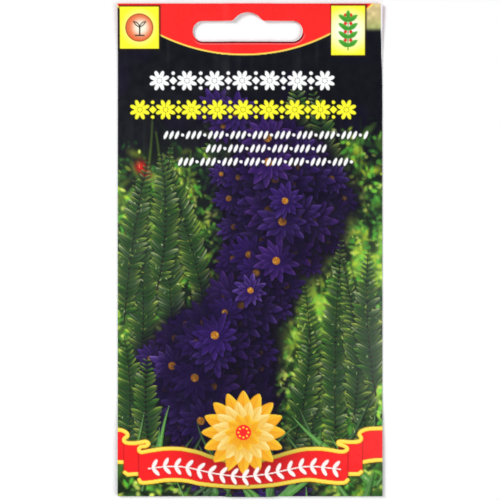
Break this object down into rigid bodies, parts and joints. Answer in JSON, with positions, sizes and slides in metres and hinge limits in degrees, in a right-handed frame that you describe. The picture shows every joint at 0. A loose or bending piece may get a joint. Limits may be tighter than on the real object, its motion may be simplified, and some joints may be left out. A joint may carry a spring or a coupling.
{
  "type": "seed packet",
  "caption": "Flat paper seed packet with a hanging slot in its header, loose seeds inside, lying on its back.",
  "frame": {"origin": "centre of the footprint, on the surface that the packet lies on", "axes": "+X across the packet to the right of the printed front, +Y up the packet towards the hanging slot, +Z out of the printed front"},
  "size_m": [0.08, 0.149, 0.0034],
  "materials": {
    "printed_paper": "gloss laminated, printed all over the front",
    "seed_coat": "dry, wrinkled and dull"
  },
  "bodies": {
    "root": {"envelope": "printed_paper", "seed_01": "seed_coat", "seed_02": "seed_coat", "seed_03": "seed_coat", "seed_04": "seed_coat", "seed_05": "seed_coat", "seed_06": "seed_coat", "seed_07": "seed_coat", "seed_08": "seed_coat", "seed_09": "seed_coat", "seed_10": "seed_coat", "seed_11": "seed_coat", "seed_12": "seed_coat", "seed_13": "seed_coat", "seed_14": "seed_coat", "seed_15": "seed_coat", "seed_16": "seed_coat", "seed_17": "seed_coat", "seed_18": "seed_coat", "seed_19": "seed_coat", "seed_20": "seed_coat", "seed_21": "seed_coat", "seed_22": "seed_coat", "seed_23": "seed_coat", "seed_24": "seed_coat", "seed_25": "seed_coat", "seed_26": "seed_coat", "seed_27": "seed_coat", "seed_28": "seed_coat", "seed_29": "seed_coat", "seed_30": "seed_coat", "seed_31": "seed_coat", "seed_32": "seed_coat", "seed_33": "seed_coat", "seed_34": "seed_coat", "seed_35": "seed_coat", "seed_36": "seed_coat"}
  },
  "joints": []
}
